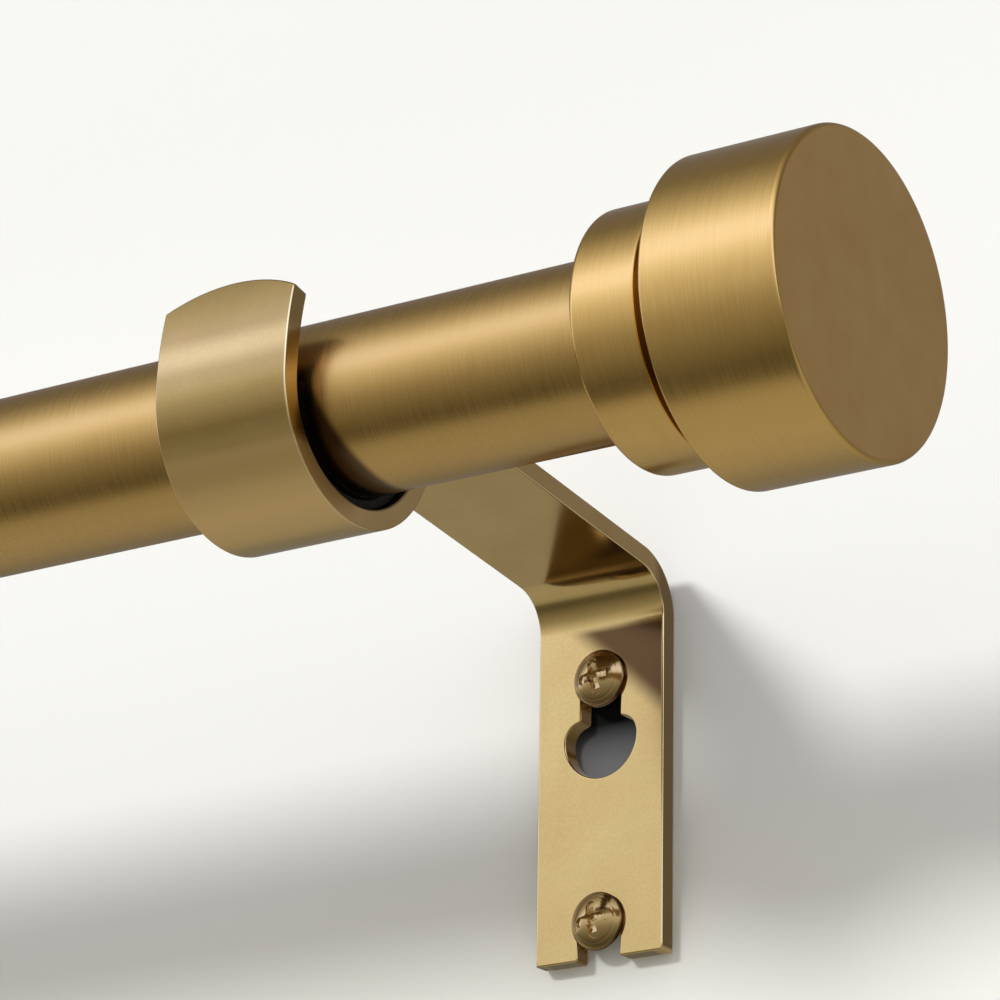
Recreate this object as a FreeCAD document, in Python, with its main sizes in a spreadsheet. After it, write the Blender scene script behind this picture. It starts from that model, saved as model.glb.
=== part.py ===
"""Extendable curtain rod on two wall brackets, in millimetres.

The frame: the origin lies on the flat back of the right bracket's plate, at mid width, between
its keyhole and its notch. +X runs along the rod to the thick tube's end cap, +Y into the wall,
+Z up. The rod's axis is origin_to_rod above the origin, and each bracket is drawn from that height.
Turned pieces are drawn as half sections along their own X axis and revolved about it.
"""
import FreeCAD, Part
import math
import os
import Sketcher

DRIVING_SIZES = {
    # Tubes
    "outer_tube_diameter": 25.4,
    "outer_tube_wall": 0.8,
    "outer_tube_length": 640.0,
    "inner_tube_diameter": 22.2,
    "inner_tube_wall": 0.8,
    "inner_tube_length": 660.0,
    "exposed_at_rest": 160.0,
    "tube_edge_break": 0.25,
    # Fits
    "running_clearance": 0.08,
    "seat_clearance": 0.03,
    # Nylon pieces that guide the slide
    "mouth_sleeve_length": 18.0,
    "mouth_flange_length": 1.2,
    "glide_head_length": 9.0,
    "glide_stem_length": 16.0,
    "glide_bore": 15.0,
    # End cap, its collar and what holds them on the tube
    "cap_diameter": 45.5,
    "cap_length": 20.5,
    "cap_face_thickness": 4.0,
    "cap_rim_radius": 0.8,
    "cap_back_radius": 0.5,
    "cap_boss_diameter": 12.0,
    "cap_seat_width": 1.8,
    "collar_diameter": 36.4,
    "collar_length": 10.3,
    "collar_rim_radius": 0.9,
    "collar_front_radius": 0.4,
    "collar_mouth_chamfer": 0.6,
    "neck_diameter": 32.4,
    "neck_length": 3.5,
    "socket_depth": 9.2,
    "plug_length": 24.0,
    "stud_diameter": 6.0,
    "stud_cover": 2.5,
    "stud_chamfer": 0.8,
    # Bracket, one folded strip
    "strip_width": 22.4,
    "strip_thickness": 3.0,
    "strip_edge_break": 0.3,
    "bracket_to_collar": 46.3,
    "wall_to_rod": 81.3,
    "origin_to_rod": 42.0,
    "plate_drop": 60.1,
    "arm_slope": 8.0,
    "arm_corner_drop": 2.8,
    "wall_bend_radius": 6.6,
    "leg_bend_radius": 3.0,
    "cradle_radius": 14.6,
    "lip_radius": 49.0,
    "lip_angle": 17.4,
    "lip_cut_angle": 22.0,
    "lip_crown": 2.7,
    # Keyhole and notch in the plate
    "keyhole_diameter": 12.6,
    "keyhole_drop": 25.9,
    "slot_width": 7.0,
    "notch_width": 7.4,
    # Wall screws
    "upper_screw_drop": 16.8,
    "screw_spacing": 37.7,
    "thread_diameter": 4.2,
    "plain_shank_diameter": 3.2,
    "plain_shank_in_wall": 2.0,
    "head_diameter": 8.9,
    "head_height": 2.4,
    "head_rim": 0.6,
    "screw_length": 36.0,
    "tip_length": 5.0,
    "recess_span": 5.2,
    "recess_width": 1.1,
    "recess_eye": 2.3,
    "recess_depth": 1.7,
    # Pad in the cradle
    "pad_thickness": 1.7,
    "pad_side_margin": 0.6,
}

doc = FreeCAD.newDocument("curtain_rod")
sheet = doc.addObject("Spreadsheet::Sheet", "Sizes")
for row, (alias, number) in enumerate(DRIVING_SIZES.items(), start=1):
    sheet.set(f"A{row}", alias)
    sheet.set(f"B{row}", str(number))
    sheet.setAlias(f"B{row}", alias)
doc.recompute()


class Size:
    """A length or angle together with the sheet formula that gives it."""

    def __init__(self, value, formula):
        self.value = value
        self.formula = formula

    def joined(self, sign, other, value):
        return Size(value, f"({self.formula} {sign} {as_size(other).formula})")

    def __add__(self, other):
        return self.joined("+", other, self.value + as_size(other).value)

    def __sub__(self, other):
        return self.joined("-", other, self.value - as_size(other).value)

    def __mul__(self, other):
        return self.joined("*", other, self.value * as_size(other).value)

    def __truediv__(self, other):
        return self.joined("/", other, self.value / as_size(other).value)

    def __neg__(self):
        return Size(-self.value, f"(0 - {self.formula})")


def as_size(number):
    """A plain number as a size, so that a formula may hold a factor such as 2."""
    return number if isinstance(number, Size) else Size(float(number), str(number))


def sine(angle):
    return Size(math.sin(math.radians(angle.value)), f"sin({angle.formula} * 1 deg)")


def cosine(angle):
    return Size(math.cos(math.radians(angle.value)), f"cos({angle.formula} * 1 deg)")


def square_root(number):
    return Size(math.sqrt(number.value), f"sqrt({number.formula})")


class Sizes:
    """Every driving size by its alias in the sheet."""

    def __init__(self):
        for name, value in DRIVING_SIZES.items():
            setattr(self, name, Size(value, f"Sizes.{name}"))


given = Sizes()
zero = as_size(0)
one = as_size(1)

# Sizes that follow from the driving ones
outer_tube_radius = given.outer_tube_diameter / 2
outer_bore_radius = outer_tube_radius - given.outer_tube_wall
inner_tube_radius = given.inner_tube_diameter / 2
inner_bore_radius = inner_tube_radius - given.inner_tube_wall
half_width = given.strip_width / 2
cradle_rise = given.cradle_radius - given.pad_thickness - given.seat_clearance - outer_tube_radius
left_bracket_rise = outer_tube_radius - inner_tube_radius
upper_screw_z = -given.upper_screw_drop
lower_screw_z = upper_screw_z - given.screw_spacing
thread_radius = given.thread_diameter / 2
stud_radius = given.stud_diameter / 2
stud_bore_radius = stud_radius + given.seat_clearance

# Places along the rod, from the middle of the right bracket
right_collar_x = half_width + given.bracket_to_collar
outer_tube_right_x = right_collar_x + given.socket_depth
mouth_x = outer_tube_right_x - given.outer_tube_length
inner_tube_left_x = mouth_x - given.exposed_at_rest
left_collar_x = inner_tube_left_x + given.socket_depth
left_bracket_x = left_collar_x + given.bracket_to_collar + half_width
rod_y = -given.wall_to_rod
rod_z = given.origin_to_rod


def bind(feature, path, amount):
    """Ties one property of a feature to the sheet."""
    feature.setExpression(path, amount.formula)


def new_body(label, place=(zero, zero, zero), turned_round=False):
    """An empty body whose own origin stands at place; turned_round faces it the other way."""
    body = doc.addObject("PartDesign::Body", label)
    body.Label = label
    if turned_round:
        body.Placement.Rotation = FreeCAD.Rotation(FreeCAD.Vector(0, 0, 1), 180)
    for axis, amount in zip("xyz", place):
        bind(body, f"Placement.Base.{axis}", amount)
    return body


def new_sketch(body, name, plane):
    """A sketch on one of the body's own origin planes."""
    sketch = body.newObject("Sketcher::SketchObject", name)
    support = [part for part in body.Origin.OriginFeatures if part.Role == plane][0]
    sketch.AttachmentSupport = [(support, "")]
    sketch.MapMode = "FlatFace"
    return sketch


def pin(sketch, geometry, point, amount, direction):
    """Holds a point of the sketch at a distance from the sketch's origin, along X or Y."""
    name = f"at_{geometry}_{point}_{direction}"
    kind = "Distance" + direction
    number = sketch.addConstraint(Sketcher.Constraint(kind, -1, 1, geometry, point, amount.value))
    sketch.renameConstraint(number, name)
    bind(sketch, f"Constraints.{name}", amount)


class Arc:
    """A side of an outline that bends: its centre, its sense, and the centre coordinate to pin."""

    def __init__(self, centre_x, centre_y, anticlockwise, pinned="X"):
        self.centre = (centre_x, centre_y)
        self.anticlockwise = anticlockwise
        self.pinned = pinned

    def geometry(self, start, stop):
        centre = FreeCAD.Vector(self.centre[0].value, self.centre[1].value, 0)
        first, last = (start, stop) if self.anticlockwise else (stop, start)
        first_angle = math.atan2(first.y - centre.y, first.x - centre.x)
        last_angle = math.atan2(last.y - centre.y, last.x - centre.x)
        if last_angle <= first_angle:
            last_angle += 2 * math.pi
        circle = Part.Circle(centre, FreeCAD.Vector(0, 0, 1), (first - centre).Length)
        return Part.ArcOfCircle(circle, first_angle, last_angle)


def draw_outline(sketch, corners, arcs=None):
    """Closes an outline through the corners. arcs gives, by its number, each side that bends."""
    arcs = arcs or {}
    count = len(corners)
    first_geometry = sketch.GeometryCount
    places = [FreeCAD.Vector(across.value, up.value, 0) for across, up in corners]
    ends = []
    for side in range(count):
        start = places[side]
        stop = places[(side + 1) % count]
        arc = arcs.get(side)
        sketch.addGeometry(arc.geometry(start, stop) if arc else Part.LineSegment(start, stop), False)
        ends.append((2, 1) if arc and not arc.anticlockwise else (1, 2))
    for side, (across, up) in enumerate(corners):
        before = (side - 1) % count
        sketch.addConstraint(Sketcher.Constraint(
            "Coincident", first_geometry + before, ends[before][1], first_geometry + side, ends[side][0]))
        pin(sketch, first_geometry + side, ends[side][0], across, "X")
        pin(sketch, first_geometry + side, ends[side][0], up, "Y")
    for side, arc in arcs.items():
        amount = arc.centre[0] if arc.pinned == "X" else arc.centre[1]
        pin(sketch, first_geometry + side, 3, amount, arc.pinned)


def revolve(body, corners, arcs=None, name="turned"):
    """Draws a half section, along X and outwards, and turns it about the body's X axis."""
    section = new_sketch(body, f"{body.Label}_{name}_section", "XZ_Plane")
    draw_outline(section, corners, arcs)
    feature = body.newObject("PartDesign::Revolution", f"{body.Label}_{name}")
    feature.Profile = section
    feature.ReferenceAxis = (section, ["H_Axis"])
    feature.Angle = 360
    return feature


def pad_both_ways(body, section, length, name):
    """Thickens a section evenly to both sides of its plane."""
    feature = body.newObject("PartDesign::Pad", f"{body.Label}_{name}")
    feature.Profile = section
    feature.SideType = "Symmetric"
    bind(feature, "Length", length)
    return feature


def cut_both_ways(body, section, length, name):
    """Cuts a section evenly to both sides of its plane, and makes sure that it removed something."""
    before = body.Shape.Volume
    feature = body.newObject("PartDesign::Pocket", f"{body.Label}_{name}")
    feature.Profile = section
    feature.SideType = "Symmetric"
    bind(feature, "Length", length)
    doc.recompute()
    if body.Shape.Volume >= before:
        raise RuntimeError(f"{feature.Name} removed nothing")
    return feature


# Tubes and the nylon pieces between them

def make_tube(label, right_x, length, radius, bore_radius):
    """A tube that ends at right_x, with both outer edges broken."""
    body = new_body(label, (right_x, rod_y, rod_z))
    edge = given.tube_edge_break
    revolve(body, [
        (zero, bore_radius),
        (zero, radius - edge),
        (-edge, radius),
        (-length + edge, radius),
        (-length, radius - edge),
        (-length, bore_radius),
    ])
    return body


def make_mouth_ring():
    """Flanged sleeve pressed into the thick tube's mouth, in which the thin tube runs."""
    body = new_body("mouth_ring", (mouth_x, rod_y, rod_z))
    bore = inner_tube_radius + given.running_clearance
    sleeve = outer_bore_radius - given.seat_clearance
    flange = given.mouth_flange_length
    edge = given.tube_edge_break
    revolve(body, [
        (-flange, bore + edge),
        (-flange + edge, bore),
        (given.mouth_sleeve_length, bore),
        (given.mouth_sleeve_length, sleeve - edge),
        (given.mouth_sleeve_length - edge, sleeve),
        (zero, sleeve),
        (zero, outer_tube_radius),
        (-flange + edge, outer_tube_radius),
        (-flange, outer_tube_radius - edge),
    ])
    return body


def make_glide():
    """Stepped bush in the thin tube's hidden end; its head runs in the thick tube."""
    body = new_body("inner_glide", (inner_tube_left_x + given.inner_tube_length, rod_y, rod_z))
    stem = inner_bore_radius - given.seat_clearance
    head = outer_bore_radius - given.running_clearance
    bore = given.glide_bore / 2
    edge = given.tube_edge_break
    revolve(body, [
        (-given.glide_stem_length, bore),
        (-given.glide_stem_length, stem - edge),
        (-given.glide_stem_length + edge, stem),
        (zero, stem),
        (zero, head - edge),
        (edge, head),
        (given.glide_head_length - edge, head),
        (given.glide_head_length, head - edge),
        (given.glide_head_length, bore),
    ])
    return body


# End cap, collar, plug and stud, drawn from the collar's mouth towards the cap's face

def make_collar(side, place, turned_round, tube_radius):
    """Collar that the tube's end sits in, with the narrow neck that carries the cap."""
    body = new_body(f"cap_collar_{side}", place, turned_round)
    radius = given.collar_diameter / 2
    bore = tube_radius + given.seat_clearance
    rim = given.collar_rim_radius
    front = given.collar_front_radius
    chamfer = given.collar_mouth_chamfer
    end = given.collar_length + given.neck_length
    revolve(body, [
        (zero, bore + chamfer),
        (zero, radius - rim),
        (rim, radius),
        (given.collar_length - front, radius),
        (given.collar_length, radius - front),
        (given.collar_length, given.neck_diameter / 2),
        (end, given.neck_diameter / 2),
        (end, stud_bore_radius),
        (given.socket_depth, stud_bore_radius),
        (given.socket_depth, bore),
        (chamfer, bore),
    ], {
        1: Arc(rim, radius - rim, False),
        3: Arc(given.collar_length - front, radius - front, False),
    })
    return body


def make_cap(side, place, turned_round):
    """Round end cap, hollow behind its face, with a threaded boss in the middle."""
    body = new_body(f"end_cap_{side}", place, turned_round)
    start = given.collar_length + given.neck_length
    end = start + given.cap_length
    radius = given.cap_diameter / 2
    rim = given.cap_rim_radius
    back = given.cap_back_radius
    floor = end - given.cap_face_thickness
    hollow = given.neck_diameter / 2 - given.cap_seat_width
    boss = given.cap_boss_diameter / 2
    revolve(body, [
        (start, hollow),
        (start, radius - back),
        (start + back, radius),
        (end - rim, radius),
        (end, radius - rim),
        (end, zero),
        (end - given.stud_cover, zero),
        (end - given.stud_cover, stud_bore_radius),
        (start, stud_bore_radius),
        (start, boss),
        (floor, boss),
        (floor, hollow),
    ], {
        1: Arc(start + back, radius - back, False),
        3: Arc(end - rim, radius - rim, False),
    })
    return body


def make_plug(side, place, turned_round, tube_bore_radius):
    """Nylon plug pressed into the tube's end, bored for the stud."""
    body = new_body(f"cap_plug_{side}", place, turned_round)
    radius = tube_bore_radius - given.seat_clearance
    start = given.socket_depth - given.plug_length
    edge = given.stud_chamfer
    revolve(body, [
        (start, stud_bore_radius),
        (start, radius - edge),
        (start + edge, radius),
        (given.socket_depth, radius),
        (given.socket_depth, stud_bore_radius),
    ])
    return body


def make_stud(side, place, turned_round):
    """Headless stud that draws the cap and its collar against the plug."""
    body = new_body(f"cap_stud_{side}", place, turned_round)
    start = given.socket_depth - given.plug_length / 2
    cap_end = given.collar_length + given.neck_length + given.cap_length
    end = cap_end - given.stud_cover - given.seat_clearance
    edge = given.stud_chamfer
    revolve(body, [
        (start, zero),
        (start, stud_radius - edge),
        (start + edge, stud_radius),
        (end - edge, stud_radius),
        (end, stud_radius - edge),
        (end, zero),
    ])
    return body


# Bracket: one strip folded from the wall plate to the cradle's lip

def draw_strip_side(sketch):
    """Side outline of the folded strip, from the plate's foot over the arm to the lip and back.

    The arm falls towards the wall by arm_slope. Its underside would meet the plate's front at
    arm_corner_drop below the rod's axis, if the bend did not round that corner.
    """
    thick = given.strip_thickness
    slope_sine = sine(given.arm_slope)
    slope_cosine = cosine(given.arm_slope)
    plate_front = -thick
    wall_bend = given.wall_bend_radius
    wall_bend_y = plate_front - wall_bend
    wall_bend_z = -given.arm_corner_drop - wall_bend * (one - slope_sine) / slope_cosine
    leg_inner = rod_y + given.cradle_radius
    leg_outer = leg_inner + thick
    leg_bend = given.leg_bend_radius
    leg_bend_y = leg_outer + leg_bend
    arm_fall = (plate_front - leg_outer) * slope_sine / slope_cosine
    leg_bend_z = arm_fall - given.arm_corner_drop - leg_bend * (one + slope_sine) / slope_cosine
    lip_inner = rod_y - given.cradle_radius
    lip_outer = lip_inner - thick
    lip_centre_y = lip_inner + given.lip_radius
    lean_sine = sine(given.lip_angle)
    lean_cosine = cosine(given.lip_angle)
    outer_lip_radius = given.lip_radius + thick
    draw_outline(sketch, [
        (zero, -given.plate_drop),
        (zero, wall_bend_z),
        (wall_bend_y + (wall_bend + thick) * slope_sine, wall_bend_z + (wall_bend + thick) * slope_cosine),
        (leg_bend_y + (leg_bend + thick) * slope_sine, leg_bend_z + (leg_bend + thick) * slope_cosine),
        (leg_inner, leg_bend_z),
        (leg_inner, cradle_rise),
        (lip_inner, cradle_rise),
        (lip_centre_y - given.lip_radius * lean_cosine, cradle_rise + given.lip_radius * lean_sine),
        (lip_centre_y - outer_lip_radius * lean_cosine, cradle_rise + outer_lip_radius * lean_sine),
        (lip_outer, cradle_rise),
        (leg_outer, cradle_rise),
        (leg_outer, leg_bend_z),
        (leg_bend_y + leg_bend * slope_sine, leg_bend_z + leg_bend * slope_cosine),
        (wall_bend_y + wall_bend * slope_sine, wall_bend_z + wall_bend * slope_cosine),
        (plate_front, wall_bend_z),
        (plate_front, -given.plate_drop),
    ], {
        1: Arc(wall_bend_y, wall_bend_z, True),
        3: Arc(leg_bend_y, leg_bend_z, True),
        5: Arc(rod_y, cradle_rise, False, pinned="Y"),
        6: Arc(lip_centre_y, cradle_rise, False),
        8: Arc(lip_centre_y, cradle_rise, True),
        9: Arc(rod_y, cradle_rise, True, pinned="Y"),
        11: Arc(leg_bend_y, leg_bend_z, False),
        13: Arc(wall_bend_y, wall_bend_z, False),
    })


def break_side_edges(body, base):
    """Chamfers every edge that lies in one of the strip's two flat sides."""
    doc.recompute()
    names = []
    for number, edge in enumerate(base.Shape.Edges, start=1):
        across = [vertex.X for vertex in edge.Vertexes]
        if all(abs(abs(x) - half_width.value) < 1e-6 for x in across) and max(across) - min(across) < 1e-6:
            names.append(f"Edge{number}")
    feature = body.newObject("PartDesign::Chamfer", f"{body.Label}_edge_break")
    feature.Base = (base, names)
    bind(feature, "Size", given.strip_edge_break)
    return feature


def round_lip_end(body):
    """Trims the lip's end to an arc that is highest at mid width, with its cut face leaned back."""
    section = new_sketch(body, f"{body.Label}_lip_section", "XZ_Plane")
    outer_radius = given.lip_radius + given.strip_thickness
    tip_y = rod_y - given.cradle_radius + given.lip_radius - outer_radius * cosine(given.lip_angle)
    tip_z = cradle_rise + outer_radius * sine(given.lip_angle)
    lean = FreeCAD.Rotation(FreeCAD.Vector(-1, 0, 0), given.lip_cut_angle.value)
    section.AttachmentOffset = FreeCAD.Placement(FreeCAD.Vector(0, tip_z.value, -tip_y.value), lean)
    bind(section, "AttachmentOffset.Base.y", tip_z)
    bind(section, "AttachmentOffset.Base.z", -tip_y)
    bind(section, "AttachmentOffset.Rotation.Angle", given.lip_cut_angle)
    radius = (half_width * half_width + given.lip_crown * given.lip_crown) / (given.lip_crown * 2)
    reach = half_width + given.strip_thickness / 2
    arc_end = square_root(radius * radius - reach * reach) - radius
    clear = given.strip_thickness * 2
    draw_outline(section, [
        (-reach, arc_end),
        (reach, arc_end),
        (reach, clear),
        (-reach, clear),
    ], {
        0: Arc(zero, -radius, False, pinned="Y"),
    })
    cut_both_ways(body, section, given.strip_thickness * 4, "lip_end")


def cut_keyhole(body):
    """Keyhole: a hole that passes a screw head, narrowed by round shoulders to a slot for its thread."""
    section = new_sketch(body, f"{body.Label}_keyhole_section", "XZ_Plane")
    radius = given.keyhole_diameter / 2
    slot = given.slot_width / 2
    centre_z = -given.keyhole_drop
    shoulder_z = centre_z + radius - slot
    slot_centre_z = upper_screw_z + thread_radius - slot
    draw_outline(section, [
        (-slot, shoulder_z),
        (-radius, centre_z),
        (radius, centre_z),
        (slot, shoulder_z),
        (slot, slot_centre_z),
        (-slot, slot_centre_z),
    ], {
        0: Arc(-slot, centre_z, True),
        1: Arc(zero, centre_z, True, pinned="Y"),
        2: Arc(slot, centre_z, True),
        4: Arc(zero, slot_centre_z, True, pinned="Y"),
    })
    cut_both_ways(body, section, given.strip_thickness * 3, "keyhole")


def cut_notch(body):
    """Notch in the plate's foot that straddles the lower screw."""
    section = new_sketch(body, f"{body.Label}_notch_section", "XZ_Plane")
    half = given.notch_width / 2
    arc_z = lower_screw_z + thread_radius - half
    foot_z = -given.plate_drop - given.strip_thickness
    draw_outline(section, [
        (-half, foot_z),
        (half, foot_z),
        (half, arc_z),
        (-half, arc_z),
    ], {
        2: Arc(zero, arc_z, True, pinned="Y"),
    })
    cut_both_ways(body, section, given.strip_thickness * 3, "notch")


def make_bracket(side, place):
    body = new_body(f"bracket_{side}", place)
    outline = new_sketch(body, f"bracket_{side}_side_section", "YZ_Plane")
    draw_strip_side(outline)
    strip = pad_both_ways(body, outline, given.strip_width, "strip")
    break_side_edges(body, strip)
    doc.recompute()
    round_lip_end(body)
    cut_keyhole(body)
    cut_notch(body)
    return body


def make_pad(side, place):
    """Thin pad bent to the cradle's lower half, on which the tube rests."""
    body = new_body(f"cradle_pad_{side}", place)
    outline = new_sketch(body, f"cradle_pad_{side}_section", "YZ_Plane")
    outer = given.cradle_radius
    inner = outer - given.pad_thickness
    draw_outline(outline, [
        (rod_y - outer, cradle_rise),
        (rod_y + outer, cradle_rise),
        (rod_y + inner, cradle_rise),
        (rod_y - inner, cradle_rise),
    ], {
        0: Arc(rod_y, cradle_rise, True, pinned="Y"),
        2: Arc(rod_y, cradle_rise, False, pinned="Y"),
    })
    pad_both_ways(body, outline, given.strip_width - given.pad_side_margin * 2, "strip")
    return body


# Wall screws, two in a bracket

def repeat_down(body, shape_feature):
    """Adds the lower one of two like pieces, as a separate solid of the same body."""
    pattern = body.newObject("PartDesign::LinearPattern", f"{body.Label}_pair")
    pattern.TransformMode = "Whole shape"
    upright = [part for part in body.Origin.OriginFeatures if part.Role == "Z_Axis"][0]
    pattern.Direction = (upright, [""])
    pattern.Reversed = True
    bind(pattern, "Length", given.screw_spacing)
    pattern.Occurrences = 2
    body.Tip = pattern
    return pattern


def make_screws(side, place):
    """Two pan head screws with cross recesses, seated on the plate's front.

    The shank is plain through the plate and a little beyond it. Further in is the rolled thread, which
    stands out past the plain shank and is drawn as a cylinder of its outer diameter.
    """
    body = new_body(f"wall_screws_{side}", place)
    head = given.head_diameter / 2
    rise = given.head_height - given.head_rim
    dome = (head * head + rise * rise) / (rise * 2)
    tip_start = given.screw_length - given.tip_length
    plain = given.plain_shank_diameter / 2
    section = new_sketch(body, f"{body.Label}_half_section", "YZ_Plane")
    front = -given.strip_thickness
    draw_outline(section, [
        (front - given.head_height, zero),
        (front - given.head_rim, head),
        (front, head),
        (front, plain),
        (given.plain_shank_in_wall, plain),
        (given.plain_shank_in_wall, thread_radius),
        (front + tip_start, thread_radius),
        (front + given.screw_length, zero),
    ], {
        0: Arc(front - given.head_height + dome, zero, False, pinned="X"),
    })
    turned = body.newObject("PartDesign::Revolution", f"{body.Label}_turned")
    turned.Profile = section
    turned.ReferenceAxis = (section, ["H_Axis"])
    turned.Angle = 360
    doc.recompute()
    recess = new_sketch(body, f"{body.Label}_recess_section", "XZ_Plane")
    recess.AttachmentOffset = FreeCAD.Placement(
        FreeCAD.Vector(0, 0, (given.strip_thickness + given.head_height).value), FreeCAD.Rotation())
    bind(recess, "AttachmentOffset.Base.z", given.strip_thickness + given.head_height)
    span = given.recess_span / 2
    wing = given.recess_width / 2
    eye = given.recess_eye / 2
    draw_outline(recess, [
        (span, -wing), (span, wing), (eye, wing),
        (wing, eye), (wing, span), (-wing, span), (-wing, eye),
        (-eye, wing), (-span, wing), (-span, -wing), (-eye, -wing),
        (-wing, -eye), (-wing, -span), (wing, -span), (wing, -eye),
        (eye, -wing),
    ])
    cut_both_ways(body, recess, given.recess_depth * 2, "recess")
    repeat_down(body, turned)
    return body


def make_end(side, place, turned_round, tube_radius, tube_bore_radius):
    """Everything on one end of the rod, from the plug in the tube to the cap."""
    return [
        make_collar(side, place, turned_round, tube_radius),
        make_cap(side, place, turned_round),
        make_plug(side, place, turned_round, tube_bore_radius),
        make_stud(side, place, turned_round),
    ]


def make_support(side, across, height):
    """Everything that stays at one place on the wall."""
    return [
        make_bracket(side, (across, zero, height)),
        make_pad(side, (across, zero, height)),
        make_screws(side, (across, zero, height + upper_screw_z)),
    ]


pieces = [
    make_tube("outer_tube", outer_tube_right_x, given.outer_tube_length, outer_tube_radius, outer_bore_radius),
    make_tube("inner_tube", inner_tube_left_x + given.inner_tube_length, given.inner_tube_length,
              inner_tube_radius, inner_bore_radius),
    make_mouth_ring(),
    make_glide(),
]
pieces += make_end("right", (right_collar_x, rod_y, rod_z), False, outer_tube_radius, outer_bore_radius)
pieces += make_end("left", (left_collar_x, rod_y, rod_z), True, inner_tube_radius, inner_bore_radius)
pieces += make_support("right", zero, rod_z)
pieces += make_support("left", left_bracket_x, rod_z + left_bracket_rise)
doc.recompute()

# Nothing is written unless every object and every piece is sound
for thing in doc.Objects:
    if "Invalid" in thing.State or "Error" in thing.State:
        raise RuntimeError(f"{thing.Label} failed: {thing.State}")
for piece in pieces:
    if piece.Shape.isNull() or not piece.Shape.isValid():
        raise RuntimeError(f"{piece.Label} has no valid shape")

os.makedirs("parts", exist_ok=True)
for piece in pieces:
    piece.Shape.exportStep(f"parts/{piece.Label}.step")
    print(piece.Label, len(piece.Shape.Solids), round(piece.Shape.Volume, 1), piece.Shape.BoundBox)
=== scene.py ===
"""Looks of the extendable curtain rod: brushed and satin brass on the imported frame.

Sizes are in millimetres here and become metres where a mesh is made. +X runs along the rod to the
thick tube's cap, +Y into the wall, +Z up. Every surface is a grid of points with its own normals.
"""
import math
import bpy
import numpy as np
from mathutils import Matrix, Vector


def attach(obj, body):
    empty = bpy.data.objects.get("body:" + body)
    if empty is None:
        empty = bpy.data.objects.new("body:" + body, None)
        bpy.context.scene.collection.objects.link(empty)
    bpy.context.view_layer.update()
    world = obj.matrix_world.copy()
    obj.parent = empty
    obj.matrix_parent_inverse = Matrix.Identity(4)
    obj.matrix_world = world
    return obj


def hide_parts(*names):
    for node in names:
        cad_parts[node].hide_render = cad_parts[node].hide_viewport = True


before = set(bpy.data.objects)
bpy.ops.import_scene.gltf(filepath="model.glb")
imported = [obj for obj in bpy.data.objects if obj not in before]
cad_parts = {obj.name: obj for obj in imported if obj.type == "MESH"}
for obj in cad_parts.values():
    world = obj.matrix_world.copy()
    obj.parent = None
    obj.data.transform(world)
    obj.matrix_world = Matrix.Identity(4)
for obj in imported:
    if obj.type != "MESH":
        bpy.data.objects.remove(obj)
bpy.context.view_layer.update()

MM = 0.001
ROD_Y = -81.3
ROD_Z = 42.0
# The left bracket's place, and how much higher it stands for the thinner tube
LEFT_X = -666.6
LEFT_RISE = 1.6
# Points that agree to 0.0001 mm are joined
STEPS_PER_METRE = 1e7


# Meshes

def make_piece(name, sheets, material, body, stands_for):
    """One mesh from sheets, each a grid of points with a grid of normals.

    Equal points are joined into one, a face that has shrunk to a triangle at a pole keeps its three
    corners, and each sheet is turned so that its faces agree with the normals given with it.
    """
    points, normals, quads = [], [], []
    start = 0
    for grid, facing in sheets:
        grid = np.asarray(grid, float) * MM
        facing = np.broadcast_to(np.asarray(facing, float), grid.shape)
        rows, columns = grid.shape[:2]
        index = start + np.arange(rows * columns).reshape(rows, columns)
        corners = np.stack([index[:-1, :-1], index[1:, :-1], index[1:, 1:], index[:-1, 1:]], -1)
        corners = corners.reshape(-1, 4)
        flat = grid.reshape(-1, 3)
        local = corners - start
        across = np.cross(flat[local[:, 2]] - flat[local[:, 0]], flat[local[:, 3]] - flat[local[:, 1]])
        if (across * facing.reshape(-1, 3)[local[:, 0]]).sum() < 0:
            corners = corners[:, ::-1]
        points.append(flat)
        normals.append(facing.reshape(-1, 3))
        quads.append(corners)
        start += rows * columns
    points, normals, quads = np.concatenate(points), np.concatenate(normals), np.concatenate(quads)
    _, first, joined = np.unique(np.round(points * STEPS_PER_METRE).astype(np.int64), axis=0,
                                 return_index=True, return_inverse=True)
    joined = joined.reshape(-1)
    welded = joined[quads]
    repeats = welded == np.roll(welded, -1, axis=1)
    whole = repeats.sum(1) == 0
    pole = repeats.sum(1) == 1
    triangles = quads[pole][~repeats[pole]].reshape(-1, 3)
    faces = joined[quads[whole]].tolist() + joined[triangles].tolist()
    corner_normals = np.concatenate([
        normals[quads[whole]].reshape(-1, 3), normals[triangles].reshape(-1, 3)])
    mesh = bpy.data.meshes.new(name)
    mesh.from_pydata(points[first].tolist(), [], faces)
    mesh.polygons.foreach_set("use_smooth", np.ones(len(faces), bool))
    mesh.normals_split_custom_set(corner_normals.tolist())
    mesh.materials.append(material)
    piece = bpy.data.objects.new(name, mesh)
    bpy.context.scene.collection.objects.link(piece)
    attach(piece, body)
    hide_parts(stands_for)
    return piece


def unit(vectors):
    """Vectors scaled to length one."""
    return vectors / np.maximum(np.linalg.norm(vectors, axis=-1, keepdims=True), 1e-12)


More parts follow.
